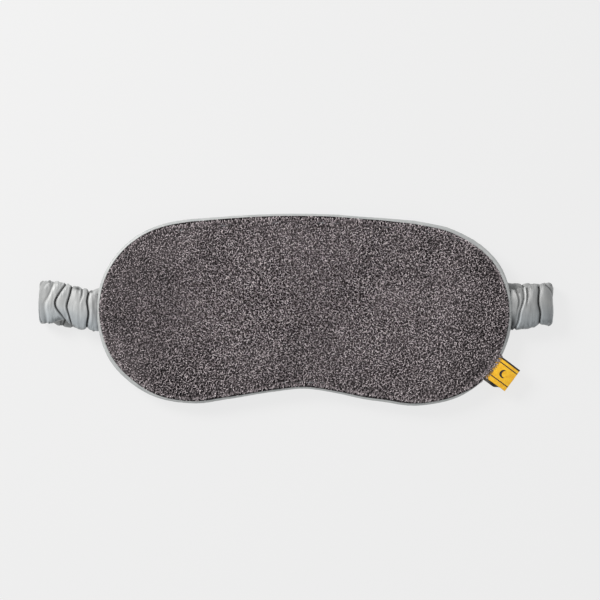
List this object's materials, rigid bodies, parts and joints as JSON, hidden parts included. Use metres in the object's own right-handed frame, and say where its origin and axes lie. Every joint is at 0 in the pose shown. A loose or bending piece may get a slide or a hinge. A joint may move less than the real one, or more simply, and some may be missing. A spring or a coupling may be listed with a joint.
{
  "type": "sleep eye mask",
  "caption": "Padded contour sleep mask with a terry face, satin back, corded piping, gathered elastic strap and folded woven side label.",
  "frame": {"origin": "on the surface the mask rests on, below the middle of the pad, inside the back run of the strap", "axes": "+X across the face towards the label's side, +Y towards the brow, +Z out of the terry face"},
  "size_m": [0.263, 0.0975, 0.0151],
  "materials": {
    "terry": "matte",
    "blackout_cloth": "matte",
    "wadding": "matte",
    "back_satin": "satin",
    "piping_cord": "matte",
    "piping_satin": "satin",
    "thread": "satin",
    "strap_satin": "satin",
    "elastic": "matte",
    "label_ribbon": "satin"
  },
  "bodies": {
    "pad": {"front_panel": "terry", "blackout_liner": "blackout_cloth", "wadding": "wadding", "back_panel": "back_satin", "piping_cord": "piping_cord", "piping_cover": "piping_satin", "seam_stitching": "thread", "left_strap_casing": "strap_satin", "left_strap_elastic": "elastic", "left_strap_tack": "thread", "right_strap_casing": "strap_satin", "right_strap_elastic": "elastic", "right_strap_tack": "thread", "label_tail": "label_ribbon"},
    "strap": {"back_strap_casing": "strap_satin", "back_strap_elastic": "elastic"},
    "label": {"woven_label": "label_ribbon"}
  },
  "joints": [
    {"name": "strap_stretch", "type": "slide", "parent": "pad", "child": "strap", "axis": [0, 0, -1], "range_m": [0, 0.06], "stiffness_N_per_m": 50, "deforming": ["left_strap_casing", "left_strap_elastic", "right_strap_casing", "right_strap_elastic"]},
    {"name": "label_flip", "type": "hinge", "parent": "pad", "child": "label", "pos_m": [0.09692, -0.02861, 0.0105], "axis": [-0.5807, -0.8141, 0], "range_deg": [-45, 135], "stiffness_Nm_per_rad": 0.0005}
  ]
}
